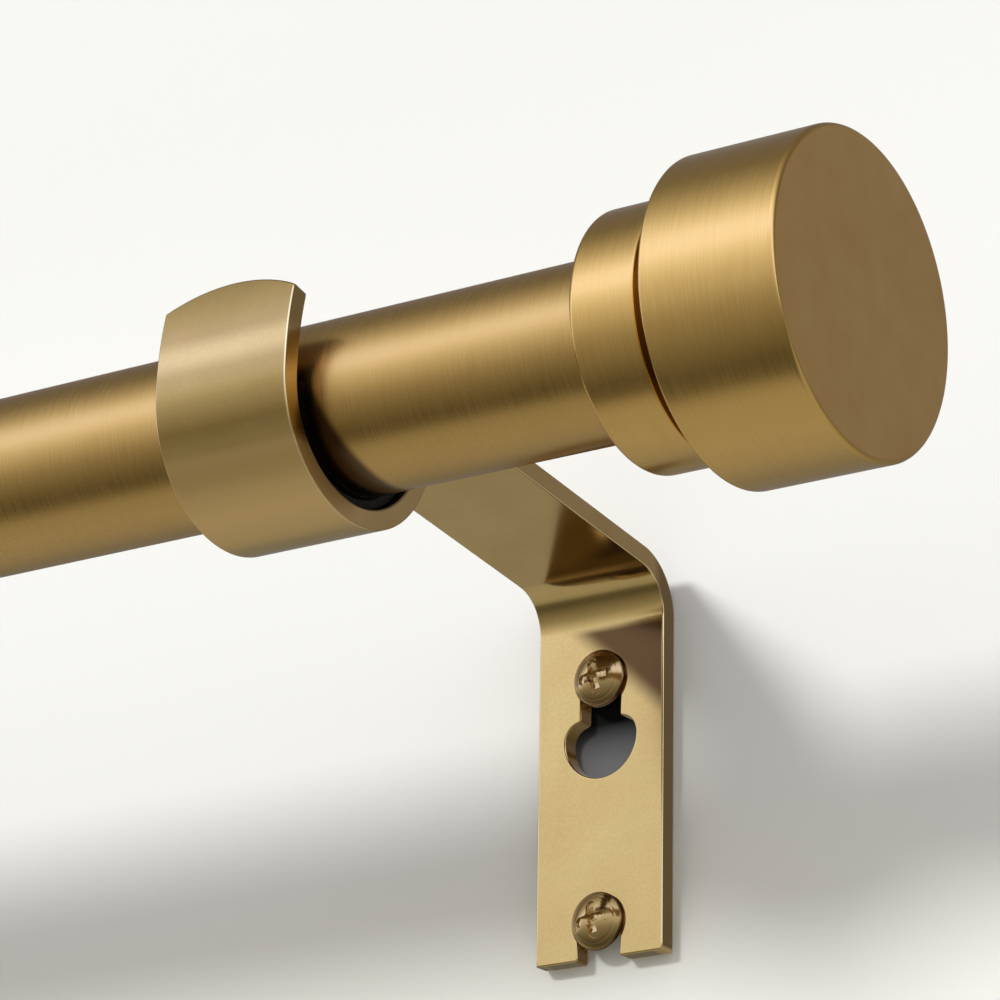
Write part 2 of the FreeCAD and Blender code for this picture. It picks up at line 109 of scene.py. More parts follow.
def rounded_outline(corners, steps=6, closed=True):
    """Outline through the corners, each (along, radius, fillet), with its outward normals.

    At a corner with sides along d1 and d2 that turn by angle w, the arc of radius f starts
    f * tan(w / 2) before the corner and turns evenly from d1 to d2. The corners go round the metal
    anticlockwise, so outward is the heading turned by minus a quarter turn.
    """
    corners = np.array(corners, float)
    place = corners[:, :2]
    count = len(place)
    outline, outward = [], []
    for i in range(count):
        here = place[i]
        if not closed and i in (0, count - 1):
            heading = unit(place[1] - place[0]) if i == 0 else unit(place[-1] - place[-2])
            outline.append(here[None])
            outward.append(np.array([[heading[1], -heading[0]]]))
            continue
        d1 = unit(here - place[i - 1])
        d2 = unit(place[(i + 1) % count] - here)
        turn = math.atan2(d1[0] * d2[1] - d1[1] * d2[0], d1 @ d2)
        fillet = corners[i, 2]
        headings = math.atan2(d1[1], d1[0]) + turn * np.linspace(0, 1, steps + 1)
        normal = np.stack([np.sin(headings), -np.cos(headings)], -1)
        begin = here - d1 * fillet * abs(math.tan(turn / 2))
        centre = begin - normal[0] * fillet * np.sign(turn)
        outline.append(centre + normal * fillet * np.sign(turn))
        outward.append(normal)
    outline, outward = np.concatenate(outline), np.concatenate(outward)
    if closed:
        outline, outward = np.vstack([outline, outline[:1]]), np.vstack([outward, outward[:1]])
    return outline, outward


def turned(outline, outward, turns=240):
    """Sheet of an outline (along, radius) turned about the rod's axis.

    Point (a, r) at angle t goes to (a, ROD_Y + r cos t, ROD_Z + r sin t).
    """
    t = np.linspace(0, 2 * math.pi, turns + 1)
    t[-1] = 0
    along, radius = outline[:, :1], outline[:, 1:]
    grid = np.stack([along + 0 * t, ROD_Y + radius * np.cos(t), ROD_Z + radius * np.sin(t)], -1)
    facing = np.stack([outward[:, :1] + 0 * t, outward[:, 1:] * np.cos(t), outward[:, 1:] * np.sin(t)], -1)
    return grid, facing


TUBE_WALL = 0.8
TUBE_EDGE = 0.25
COLLAR_LENGTH = 13.8
STUD_HOLE = 3.1


def tube(left, right, radius):
    """Tube between two places: its wall's section turned about the rod's axis, with four rounded edges."""
    bore = radius - TUBE_WALL
    outline, outward = rounded_outline([
        (left, bore, TUBE_EDGE), (right, bore, TUBE_EDGE),
        (right, radius, TUBE_EDGE), (left, radius, TUBE_EDGE)])
    return [turned(outline, outward)]


def facing_end(outline, outward, start, right):
    """Moves an outline drawn from an end's mouth to its place, for the right or the left end."""
    sense = 1 if right else -1
    return outline * [sense, 1] + [start, 0], outward * [sense, 1]


def collar(start, right, bore):
    """Collar with a rounded shoulder, and the neck that carries the cap: an outline turned about the axis."""
    outline, outward = rounded_outline([
        (0, bore, 0.3), (9.2, bore, 0.2), (9.2, STUD_HOLE, 0.2), (COLLAR_LENGTH, STUD_HOLE, 0.2),
        (COLLAR_LENGTH, 16.2, 0.2), (10.3, 16.2, 0.2), (10.3, 18.2, 0.4), (0, 18.2, 0.9)], steps=8)
    return [turned(*facing_end(outline, outward, start, right))]


def cap(start, right):
    """Round cap, hollow behind its face, with a boss for the stud: an outline turned about the axis."""
    outline, outward = rounded_outline([
        (0, 6, 0.3), (0, STUD_HOLE, 0.2), (18, STUD_HOLE, 0.2), (18, 0, 0), (20.5, 0, 0), (20.5, 22.75, 0.8),
        (0, 22.75, 0.5), (0, 14.4, 0.3), (16.5, 14.4, 0.6), (16.5, 6, 0.6)], steps=8)
    return [turned(*facing_end(outline, outward, start, right))]


# The bracket's strip: a flat outline in (across, along) and a fold that bends it into shape

STRIP = 3.0
HALF_WIDTH = 11.2
EDGE = 0.3
SLOPE = math.radians(8.0)
LIP_LEAN = math.radians(17.4)
FOOT_Z = -18.1
CRADLE_Z = ROD_Z + 0.17
CRADLE_RADIUS = 14.6
LIP_RADIUS = 49.0
UPPER_SCREW_Z = ROD_Z - 16.8
SCREW_SPACING = 37.7
# Inner radii of the two bends, and how far below the rod's axis the arm's underside meets the plate's front
WALL_BEND = 6.6
LEG_BEND = 3.0
ARM_DROP = 2.8
WALL_BEND_Z = ROD_Z - ARM_DROP - WALL_BEND * (1 - math.sin(SLOPE)) / math.cos(SLOPE)
LEG_Y = ROD_Y + CRADLE_RADIUS + STRIP
LEG_BEND_Z = ROD_Z + (-STRIP - LEG_Y) * math.tan(SLOPE) - ARM_DROP \
    - LEG_BEND * (1 + math.sin(SLOPE)) / math.cos(SLOPE)
# Each stretch of the strip's middle: its length and by how much it turns, anticlockwise seen from +X
STRETCHES = [
    (WALL_BEND_Z - FOOT_Z, 0),
    ((WALL_BEND + STRIP / 2) * (math.pi / 2 - SLOPE), math.pi / 2 - SLOPE),
    (0, 0),
    ((LEG_BEND + STRIP / 2) * (math.pi / 2 + SLOPE), math.pi / 2 + SLOPE),
    (LEG_BEND_Z - CRADLE_Z, 0),
    ((CRADLE_RADIUS + STRIP / 2) * math.pi, -math.pi),
    ((LIP_RADIUS + STRIP / 2) * LIP_LEAN, -LIP_LEAN),
]


def arm_length():
    """Length of the straight arm, between the two bends' ends on the strip's middle."""
    bend = np.array([-STRIP - WALL_BEND, WALL_BEND_Z]) \
        + (WALL_BEND + STRIP / 2) * np.array([math.sin(SLOPE), math.cos(SLOPE)])
    leg = np.array([LEG_Y + LEG_BEND, LEG_BEND_Z]) \
        + (LEG_BEND + STRIP / 2) * np.array([math.sin(SLOPE), math.cos(SLOPE)])
    return float(np.linalg.norm(leg - bend))


STRETCHES[2] = (arm_length(), 0)
STRIP_LENGTH = sum(length for length, _ in STRETCHES)


def fold(across, along, height):
    """Places flat points of the strip in the folded shape, with the heading and the front's normal.

    The middle line starts at the plate's foot and heads up. On a straight stretch it runs on, and
    on a bend of radius length / turn it moves by radius * (sin h - sin h0, cos h0 - cos h). The
    height is measured from the middle towards the front, which lies to the left of the heading.
    """
    along = np.asarray(along, float)
    y, z, heading = -STRIP / 2, FOOT_Z, math.pi / 2
    middle = np.zeros(along.shape + (2,))
    angle = np.zeros(along.shape)
    begin = 0.0
    for number, (length, turn) in enumerate(STRETCHES):
        last = number == len(STRETCHES) - 1
        inside = (along >= begin) & ((along <= begin + length) | last)
        if number == 0:
            inside |= along < begin
        part = along[inside] - begin
        if turn:
            h = heading + turn * part / length
            radius = length / turn
            middle[inside] = np.stack([y + radius * (np.sin(h) - math.sin(heading)),
                                       z + radius * (math.cos(heading) - np.cos(h))], -1)
            angle[inside] = h
            y += radius * (math.sin(heading + turn) - math.sin(heading))
            z += radius * (math.cos(heading) - math.cos(heading + turn))
            heading += turn
        else:
            middle[inside] = np.stack([y + part * math.cos(heading), z + part * math.sin(heading)], -1)
            angle[inside] = heading
            y += length * math.cos(heading)
            z += length * math.sin(heading)
        begin += length
    across, along, height = np.broadcast_arrays(across, along, height)
    nothing = 0 * along
    front = np.stack([nothing, -np.sin(angle), np.cos(angle)], -1)
    onward = np.stack([nothing, np.cos(angle), np.sin(angle)], -1)
    grid = np.stack([across, middle[..., 0], middle[..., 1]], -1) + front * height[..., None]
    return grid, onward, front


def arc(x, y, radius, first, last, steps):
    """Points on a circle round (x, y) between two angles in degrees."""
    t = np.radians(np.linspace(first, last, steps))
    return np.stack([x + radius * np.cos(t), y + radius * np.sin(t)], -1)


KEYHOLE_RADIUS = 6.3
SLOT_HALF = 3.5
NOTCH_HALF = 3.7
# The slot and the notch reach this far above the middle of their screw's shank
ABOVE_SHANK = 2.1


def keyhole_outline(count=1600):
    """Closed outline of the keyhole in (across, along): half circle, shoulders, slot and its round top.

    The points are spread evenly, and a Gaussian over their Fourier series rounds the corners.
    """
    centre = ROD_Z - 25.9 - FOOT_Z
    top = UPPER_SCREW_Z + ABOVE_SHANK - SLOT_HALF - FOOT_Z
    shoulder = KEYHOLE_RADIUS - SLOT_HALF
    path = np.concatenate([
        arc(0, centre, KEYHOLE_RADIUS, 180, 360, 200), arc(SLOT_HALF, centre, shoulder, 0, 90, 60),
        arc(0, top, SLOT_HALF, 0, 180, 120), arc(-SLOT_HALF, centre, shoulder, 90, 180, 60)])
    path = np.vstack([path, path[:1]])
    run = np.concatenate([[0], np.cumsum(np.linalg.norm(np.diff(path, axis=0), axis=1))])
    place = np.linspace(0, run[-1], count, endpoint=False)
    even = np.stack([np.interp(place, run, path[:, i]) for i in (0, 1)], -1)
    spread = 0.2
    wave = np.fft.fftfreq(count, run[-1] / count)
    soften = np.exp(-2 * (math.pi * wave * spread) ** 2)[:, None]
    return np.fft.ifft(np.fft.fft(even, axis=0) * soften, axis=0).real


def side_normals(loop):
    """Unit normals to the right of a closed path's heading, averaged over the two sides that meet."""
    step = unit(np.roll(loop, -1, axis=0) - loop)
    right = np.stack([step[:, 1], -step[:, 0]], -1)
    return unit(right + np.roll(right, 1, axis=0))


def edge_band(loop, outward, steps=5):
    """Rounded edge from the front sheet over the strip's thickness to the back sheet.

    At angle a the point lies EDGE * sin a outside the loop and EDGE * (1 - cos a) below the face.
    """
    a = np.linspace(0, math.pi / 2, steps)
    out = np.concatenate([np.sin(a), np.sin(a)[::-1]])[:, None]
    height = STRIP / 2 - EDGE * (1 - np.cos(a))
    height = np.concatenate([height, -height[::-1]])[:, None]
    lean = np.concatenate([np.cos(a), -np.cos(a)[::-1]])[:, None, None]
    loop, outward = np.vstack([loop, loop[:1]]), np.vstack([outward, outward[:1]])
    moved = loop + EDGE * out[..., None] * outward
    grid, onward, front = fold(moved[..., 0], moved[..., 1], height)
    sideways = np.array([1.0, 0, 0]) * outward[:, :1] + onward * outward[:, 1:]
    return grid, unit(sideways * out[..., None] + front * lean)


def bracket_sheets(shift_x, shift_z):
    """The whole folded strip: plate with keyhole and notch, bends, arm, cradle and round lip."""
    wide = HALF_WIDTH - EDGE
    plate_low, plate_high = 20.0, 49.0
    # Columns closer together towards the two long sides
    across = wide * np.sin(np.linspace(-1, 1, 49) * math.pi / 2 * 0.9) / math.sin(math.pi / 2 * 0.9)
    side = np.linspace(plate_low, plate_high, 49)
    ones = np.ones(49)
    # Keyhole patch: rays from inside the hole to the patch's own four sides
    ring = np.concatenate([
        np.stack([across, ones * plate_low], -1)[:-1], np.stack([ones * wide, side], -1)[:-1],
        np.stack([across[::-1], ones * plate_high], -1)[:-1], np.stack([-ones * wide, side[::-1]], -1)[:-1]])
    eye = np.array([0, 36.0])
    hole = keyhole_outline()
    hole_normals = side_normals(hole)
    hole = hole + hole_normals * EDGE
    bearing = np.arctan2(*(hole - eye).T[::-1])
    order = np.argsort(bearing)
    reach = np.linalg.norm(hole - eye, axis=1)
    ray = np.arctan2(*(ring - eye).T[::-1])
    distance = np.interp(ray, bearing[order], reach[order], period=2 * math.pi)
    inner = eye + distance[:, None] * np.stack([np.cos(ray), np.sin(ray)], -1)
    rows = np.array([0, 0.03, 0.1, 0.22, 0.4, 0.6, 0.8, 1.0])[:, None, None]
    around = inner * (1 - rows) + ring * rows
    around = np.concatenate([around, around[:, :1]], 1)
    # Notch patch: from the notch's outline to the sides of the plate's foot
    notch_top = UPPER_SCREW_Z - SCREW_SPACING + ABOVE_SHANK - NOTCH_HALF - FOOT_Z
    half = NOTCH_HALF + EDGE
    foot = np.linspace(EDGE, plate_low, 25)
    outer = np.concatenate([
        np.stack([-wide * np.ones(25), foot], -1)[:-1], np.stack([across, ones * plate_low], -1),
        np.stack([wide * np.ones(25), foot[::-1]], -1)[1:]])
    t = np.linspace(0, 1, 49)[1:-1] * math.pi
    rise = np.linspace(EDGE, notch_top, 26)
    notch = np.concatenate([
        np.stack([-half * np.ones(26), rise], -1),
        np.stack([-half * np.cos(t), notch_top + half * np.sin(t)], -1),
        np.stack([half * np.ones(26), rise[::-1]], -1)])[1:-1]
    notch[0], notch[-1] = (-half, EDGE), (half, EDGE)
    below = notch * (1 - rows) + outer * rows
    # Arm, cradle and lip: the rows near the end follow the lip's round edge
    crown = 2.7
    lip_radius = (HALF_WIDTH ** 2 + crown ** 2) / (2 * crown)
    drop = lip_radius - np.sqrt(lip_radius ** 2 - across ** 2)
    end = STRIP_LENGTH - EDGE
    along = np.linspace(plate_high, end, 260)[:, None]
    bent = np.clip((along - (end - 12)) / 12, 0, 1) ** 2
    upper = np.stack([across + 0 * along, along - drop * bent], -1)
    sheets = []
    for patch in (around, below, upper):
        for face in (1, -1):
            grid, _, front = fold(patch[..., 0], patch[..., 1], face * STRIP / 2)
            sheets.append((grid, face * front))
    left_side = np.vstack([outer[:25], np.stack([-ones * wide, side], -1)[1:], upper[1:, 0]])
    right_side = np.vstack([
        upper[:-1, -1][::-1], np.stack([ones * wide, side[::-1]], -1)[1:], outer[-25:][1:]])
    lip = upper[-1, 1:]
    foot_rows = rows[::-1, 0]
    right_foot = notch[-1] * (1 - foot_rows) + outer[-1] * foot_rows
    left_foot = notch[0] * (1 - rows[:, 0]) + outer[0] * rows[:, 0]
    loop = np.vstack([left_side, lip, right_side, right_foot[1:-1], notch[::-1], left_foot[1:-1]])
    sheets.append(edge_band(loop, -side_normals(loop)))
    sheets.append(edge_band(inner, -side_normals(inner)))
    return [(grid + [shift_x, 0, shift_z], facing) for grid, facing in sheets]


# Pad and wall screws

PAD_HALF = 9.9
PAD_BORE = 12.9
PAD_EDGE = 0.4


def pad_sheets(shift_x, shift_z):
    """Pad under the tube: a rounded section carried round the cradle's lower half, with two flat ends."""
    outline, outward = rounded_outline([
        (-PAD_HALF, PAD_BORE, PAD_EDGE), (PAD_HALF, PAD_BORE, PAD_EDGE),
        (PAD_HALF, CRADLE_RADIUS, PAD_EDGE), (-PAD_HALF, CRADLE_RADIUS, PAD_EDGE)])
    t = np.linspace(math.pi, 2 * math.pi, 121)
    def carried(section, angle):
        return np.stack([section[:, :1] + shift_x + 0 * angle, ROD_Y + section[:, 1:] * np.cos(angle),
                         CRADLE_Z + shift_z + section[:, 1:] * np.sin(angle)], -1)
    facing = np.stack([outward[:, :1] + 0 * t, outward[:, 1:] * np.cos(t), outward[:, 1:] * np.sin(t)], -1)
    sheets = [(carried(outline, t), facing)]
    for angle in (math.pi, 2 * math.pi):
        rim = carried(outline, np.array([angle]))
        sheets.append((np.concatenate([rim, 0 * rim + rim[:-1].mean(0)], 1), [0.0, 0.0, 1.0]))
    return sheets


HEAD_RADIUS = 4.45
HEAD_RIM = 4.3
DOME_RISE = 1.8
DOME_RADIUS = (HEAD_RADIUS ** 2 + DOME_RISE ** 2) / (2 * DOME_RISE)
SHANK_RADIUS = 1.6
THREAD_START = 2.0
THREAD_PITCH = 1.7
SCREW_POINT = 33.0
POINT_LENGTH = 5.5
AROUND = np.linspace(0, 2 * math.pi, 193)


def smooth_step(value):
    """Rises from 0 to 1 as the value does, level at both ends."""
    value = np.clip(value, 0, 1)
    return value * value * (3 - 2 * value)


def head_height(x, z, turn):
    """Height of a screw head above the plate: a dome, a shallow ring near its rim and the cross recess.

    Each wing of the cross is deepest in the middle and runs out at its rounded end.
    """
    radius = np.hypot(x, z)
    dome = 0.6 + DOME_RISE - DOME_RADIUS + np.sqrt(DOME_RADIUS ** 2 - np.minimum(radius, 4.4) ** 2)
    u = x * math.cos(turn) + z * math.sin(turn)
    w = z * math.cos(turn) - x * math.sin(turn)
    depth = 1.25 * smooth_step((1.2 - radius) / 0.35)
    for along, aside in ((abs(u), abs(w)), (abs(w), abs(u))):
        half = 0.66 + 0.05 * along
        past = np.hypot(np.maximum(along - 2.15, 0), aside)
        aside = np.where(along > 2.15, past, aside)
        floor = 0.38 + 0.9 * np.clip(1 - along / 2.0, 0, 1)
        depth = np.maximum(depth, floor * smooth_step((half - aside) / 0.16))
    return dome - depth - 0.025 * np.exp(-((radius - 3.55) / 0.12) ** 2)


def screw_sheets(x, z, turn):
    """One wall screw: recessed head, rim, plain shank and a thread that winds down to its point."""
    radius = np.concatenate([np.linspace(0, 2.9, 84), np.linspace(2.9, HEAD_RIM, 22)[1:]])[:, None]
    across, up = radius * np.cos(AROUND), radius * np.sin(AROUND)
    across[:, -1], up[:, -1] = across[:, 0], up[:, 0]
    step = 0.008
    slope_x = (head_height(across + step, up, turn) - head_height(across - step, up, turn)) / (2 * step)
    slope_z = (head_height(across, up + step, turn) - head_height(across, up - step, turn)) / (2 * step)
    head = np.stack([x + across, -STRIP - head_height(across, up, turn), z + up], -1)
    sheets = [(head, unit(np.stack([-slope_x, -np.ones_like(slope_x), -slope_z], -1)))]
    edge = -STRIP - float(head_height(HEAD_RIM, 0.0, turn))
    outline, outward = rounded_outline([
        (THREAD_START, SHANK_RADIUS, 0), (-STRIP, SHANK_RADIUS, 0.05), (-STRIP, HEAD_RADIUS, 0.1),
        (-STRIP - 0.55, HEAD_RADIUS, 0.12), (edge, HEAD_RIM, 0)], closed=False)
    along, out = outline[:, :1], outline[:, 1:]
    facing = -outward
    turning, climbing = np.cos(AROUND), np.sin(AROUND)
    turning[-1], climbing[-1] = 1, 0
    sheets.append((
        np.stack([x + out * turning, along + 0 * AROUND, z + out * climbing], -1),
        np.stack([facing[:, 1:] * turning, facing[:, :1] + 0 * AROUND, facing[:, 1:] * climbing], -1)))
    # Thread: the radius rises to a ridge where the turn and the depth over the pitch agree
    rows = np.linspace(THREAD_START, SCREW_POINT, 260)[:, None]
    taper = np.clip((SCREW_POINT - rows) / POINT_LENGTH, 0, 1)
    phase = (rows / THREAD_PITCH - AROUND / (2 * math.pi)) % 1.0
    ridge = np.clip(1.3 - abs(phase - 0.5) * 4.5, 0, 1)
    wire = taper * (1.55 + 0.54 * ridge * smooth_step((rows - THREAD_START) / 1.2))
    wire[0] = SHANK_RADIUS
    thread = np.stack([x + wire * turning, rows + 0 * wire, z + wire * climbing], -1)
    down = np.gradient(thread, axis=0)
    round_it = np.gradient(thread, axis=1)
    round_it[:, 0] = round_it[:, -1] = (round_it[:, 0] + round_it[:, -1]) / 2
    facing = unit(np.cross(down, round_it))
    away = np.stack([0 * wire + turning, 0 * wire, 0 * wire + climbing], -1)
    facing = facing * np.sign((facing * away).sum(-1, keepdims=True) + 1e-9)
    facing[-1] = [0.0, 1.0, 0.0]
    facing[0] = facing[1]
    sheets.append((thread, facing))
    return sheets


# Materials

def add(tree, kind, inputs=None, **settings):
    """A node with its settings, and its inputs set to a value or joined to a socket."""
    node = tree.nodes.new(kind)
    for name, value in settings.items():
        setattr(node, name, value)
    for name, value in (inputs or {}).items():
        if isinstance(value, bpy.types.NodeSocket):
            tree.links.new(value, node.inputs[name])
        else:
            node.inputs[name].default_value = value
    return node


def math_node(tree, operation, first, second=0.0):
    return add(tree, "ShaderNodeMath", {0: first, 1: second}, operation=operation).outputs[0]


def between(tree, factor, low, high):
    """Colour between two, by a factor."""
    return add(tree, "ShaderNodeMix", {0: factor, 6: low, 7: high}, data_type="RGBA").outputs[2]


def spread(tree, value, low, high, start=0.0, stop=1.0):
    """Value carried from start..stop to low..high."""
    return add(tree, "ShaderNodeMapRange", {"Value": value, "From Min": start, "From Max": stop,
                                            "To Min": low, "To Max": high}).outputs[0]


def new_group(name, inputs, outputs):
    """Empty shader group with named sockets, and its two end nodes."""
    group = bpy.data.node_groups.new(name, "ShaderNodeTree")
    for label, kind, value in inputs:
        socket = group.interface.new_socket(label, in_out="INPUT", socket_type=kind)
        if value is not None:
            socket.default_value = value
    for label in outputs:
        group.interface.new_socket(label, in_out="OUTPUT", socket_type="NodeSocketFloat")
    return group, group.nodes.new("NodeGroupInput").outputs, group.nodes.new("NodeGroupOutput").inputs


def turned_brushing():
    """Fine lines round the rod's axis: noise that changes fast along x and only slowly with y and z."""
    group, given, out = new_group("Turned brushing", [
        ("Place", "NodeSocketVector", None), ("Lines per metre", "NodeSocketFloat", 7000.0),
        ("Runs per metre", "NodeSocketFloat", 160.0)], ["Lines", "Height"])
    parts = add(group, "ShaderNodeSeparateXYZ", {0: given["Place"]}).outputs
    stretched = add(group, "ShaderNodeCombineXYZ", {
        0: math_node(group, "MULTIPLY", parts[0], given["Lines per metre"]),
        1: math_node(group, "MULTIPLY", parts[1], given["Runs per metre"]),
        2: math_node(group, "MULTIPLY", parts[2], given["Runs per metre"])}).outputs[0]
    lines = add(group, "ShaderNodeTexNoise", {"Vector": stretched, "Scale": 1.0, "Detail": 2.0,
                                              "Roughness": 0.6}).outputs[0]
    group.links.new(lines, out["Height"])
    group.links.new(spread(group, lines, 0.0, 1.0, 0.28, 0.72), out["Lines"])
    return group


def plated_grain():
    """Pebbled skin of plated strip: two sizes of noise, with small pits where both are low."""
    group, given, out = new_group("Plated grain", [
        ("Place", "NodeSocketVector", None),
        ("Grains per metre", "NodeSocketFloat", 3200.0)], ["Grain", "Height"])
    scaled = add(group, "ShaderNodeVectorMath", {0: given["Place"], "Scale": given["Grains per metre"]},
                 operation="SCALE").outputs[0]
    pebbles = add(group, "ShaderNodeTexNoise", {"Vector": scaled, "Scale": 1.0, "Detail": 3.0,
                                                "Roughness": 0.55}).outputs[0]
    waves = add(group, "ShaderNodeTexNoise", {"Vector": scaled, "Scale": 0.22, "Detail": 2.0}).outputs[0]
    height = math_node(group, "ADD", math_node(group, "MULTIPLY", pebbles, 0.7),
                       math_node(group, "MULTIPLY", waves, 0.5))
    group.links.new(height, out["Height"])
    group.links.new(spread(group, pebbles, 0.0, 1.0, 0.25, 0.75), out["Grain"])
    return group


def handling_tone():
    """Broad soft unevenness that lacquer and handling leave."""
    group, given, out = new_group("Handling tone", [
        ("Place", "NodeSocketVector", None), ("Patches per metre", "NodeSocketFloat", 60.0)], ["Tone"])
    scaled = add(group, "ShaderNodeVectorMath", {0: given["Place"], "Scale": given["Patches per metre"]},
                 operation="SCALE").outputs[0]
    tone = add(group, "ShaderNodeTexNoise", {"Vector": scaled, "Scale": 1.0, "Detail": 3.0,
                                             "Roughness": 0.5}).outputs[0]
    group.links.new(spread(group, tone, 0.0, 1.0, 0.3, 0.7), out["Tone"])
    return group


def banded():
    """1 inside a band of a value and 0 outside it, with a soft step at each side."""
    group, given, out = new_group("Band", [
        ("Value", "NodeSocketFloat", 0.0), ("From", "NodeSocketFloat", 0.0), ("To", "NodeSocketFloat", 1.0),
        ("Softness", "NodeSocketFloat", 0.001)], ["Mask"])
    rise = add(group, "ShaderNodeMapRange", {
        "Value": given["Value"], "From Min": math_node(group, "SUBTRACT", given["From"], given["Softness"]),
        "From Max": given["From"]}, interpolation_type="SMOOTHSTEP").outputs[0]
    fall = add(group, "ShaderNodeMapRange", {
        "Value": given["Value"], "From Min": given["To"],
        "From Max": math_node(group, "ADD", given["To"], given["Softness"])},
        interpolation_type="SMOOTHSTEP").outputs[0]
    group.links.new(math_node(group, "SUBTRACT", rise, fall), out["Mask"])
    return group


brushing, grain, tone_group, band_group = turned_brushing(), plated_grain(), handling_tone(), banded()


def start_material(name, centre=(0.0, 0.0, 0.0)):
    """Material with its shader, and the place on the object measured from a centre in metres."""
    material = bpy.data.materials.new(name)
    material.use_nodes = True
    tree = material.node_tree
    shader = tree.nodes["Principled BSDF"]
    place = add(tree, "ShaderNodeMapping", {
        "Vector": add(tree, "ShaderNodeTexCoord").outputs["Object"],
        "Location": [-value for value in centre]}).outputs[0]
    return material, tree, shader, place


def effect(tree, group, inputs):
    """An effect's group placed in a material with its own values."""
    return add(tree, "ShaderNodeGroup", inputs, node_tree=group).outputs


# A place beyond every edge of the part, in metres, for a band with one open side
FAR = 1.0


def mask(tree, value, start, stop, softness):
    """Mask of the places whose value lies between start and stop, in metres."""
    return effect(tree, band_group, {"Value": value, "From": start, "To": stop, "Softness": softness})["Mask"]


def both(tree, first, second):
    """Mask of the places that lie in two masks."""
    return math_node(tree, "MULTIPLY", first, second)


def bump(tree, shader, height, distance, strength=1.0):
    node = add(tree, "ShaderNodeBump", {"Height": height, "Distance": distance, "Strength": strength})
    tree.links.new(node.outputs[0], shader.inputs["Normal"])


def from_axis(tree, place):
    """Distance of a place from the x axis."""
    parts = add(tree, "ShaderNodeSeparateXYZ", {0: place}).outputs
    flat = add(tree, "ShaderNodeCombineXYZ", {0: 0.0, 1: parts[1], 2: parts[2]}).outputs[0]
    return add(tree, "ShaderNodeVectorMath", {0: flat}, operation="LENGTH").outputs["Value"]


def toned(tree, colour, where, tone):
    """Colour times a tone where the mask is 1."""
    return add(tree, "ShaderNodeMix", {0: where, 6: colour, 7: tone},
               data_type="RGBA", blend_type="MULTIPLY").outputs[2]


# Tones of painted shade that brass is multiplied by, and two colours of painted light that take its place
GROOVE_PAINTED_SHADE = (0.40, 0.36, 0.34, 1)
TUBE_SHADE_TONE = (0.17, 0.15, 0.13, 1)
LIP_PAINTED_SHADE = (0.61, 0.57, 0.47, 1)
CRADLE_PAINTED_SHADE = (0.15, 0.12, 0.10, 1)
CUT_SIDE_PAINTED_SHADE = (0.5, 0.46, 0.42, 1)
HOLE_WALL_PAINTED_SHADE = (0.42, 0.34, 0.27, 1)
PLATE_CORNER_PAINTED_REFLECTION = (0.17, 0.118, 0.08, 1)
MIRRORED_TONE = (0.5, 0.40, 0.30, 1)
SCREW_RIM_PAINTED_SHADE = (0.3, 0.22, 0.16, 1)
UNDER_CRADLE_PAINTED_LIGHT = (0.95, 0.68, 0.31, 1)
EDGE_PAINTED_HIGHLIGHT = (0.95, 0.78, 0.45, 1)


def brushed_brass(name, deep, pale, smooth, rough, coat, relief, groove=None, shaded=None):
    """Brass turned and brushed round the rod's axis, under clear lacquer.

    It has painted shade in a groove between two places along x. Where it is shaded, it has painted shade
    beside the cradle up to that x, and the further down, the wider.
    """
    material, tree, shader, place = start_material(name, (0.0, ROD_Y * MM, ROD_Z * MM))
    lines = effect(tree, brushing, {"Place": place})
    tone = effect(tree, tone_group, {"Place": place})["Tone"]
    mixed = math_node(tree, "ADD", math_node(tree, "MULTIPLY", lines["Lines"], 0.75),
                      math_node(tree, "MULTIPLY", tone, 0.25))
    colour = between(tree, mixed, deep, pale)
    # Painted shade in the groove between collar and cap
    if groove:
        along = add(tree, "ShaderNodeSeparateXYZ", {0: place}).outputs[0]
        inside = mask(tree, along, groove[0] * MM, groove[1] * MM, 0.0001)
        deep_down = mask(tree, from_axis(tree, place), -FAR, 0.0176, 0.0004)
        colour = toned(tree, colour, both(tree, inside, deep_down), GROOVE_PAINTED_SHADE)
    if shaded:
        parts = add(tree, "ShaderNodeSeparateXYZ", {0: place}).outputs
        slanted = math_node(tree, "ADD", parts[0], math_node(tree, "MULTIPLY", parts[2], 0.43))
        beside = mask(tree, slanted, 0.0, shaded * MM, 0.0016)
        below = mask(tree, parts[2], -FAR, -0.002, 0.004)
        colour = toned(tree, colour, both(tree, beside, below), TUBE_SHADE_TONE)
    tree.links.new(colour, shader.inputs["Base Color"])
    tree.links.new(spread(tree, mixed, smooth, rough), shader.inputs["Roughness"])
    bump(tree, shader, lines["Height"], relief)
    shader.inputs["Metallic"].default_value = 1.0
    shader.inputs["Coat Weight"].default_value = coat
    shader.inputs["Coat Roughness"].default_value = 0.25
    return material


def plated_brass(name, deep, pale, smooth, rough, coat, relief, fine):
    """Brass plating over strip or screw, with its fine pebbled skin."""
    material, tree, shader, place = start_material(name)
    skin = effect(tree, grain, {"Place": place, "Grains per metre": fine})
    tone = effect(tree, tone_group, {"Place": place, "Patches per metre": 90.0})["Tone"]
    mixed = math_node(tree, "ADD", math_node(tree, "MULTIPLY", skin["Grain"], 0.5),
                      math_node(tree, "MULTIPLY", tone, 0.5))
    tree.links.new(between(tree, mixed, deep, pale), shader.inputs["Base Color"])
    tree.links.new(spread(tree, mixed, smooth, rough), shader.inputs["Roughness"])
    bump(tree, shader, skin["Height"], relief)
    shader.inputs["Metallic"].default_value = 1.0
    shader.inputs["Coat Weight"].default_value = coat
    shader.inputs["Coat Roughness"].default_value = 0.1
    return material


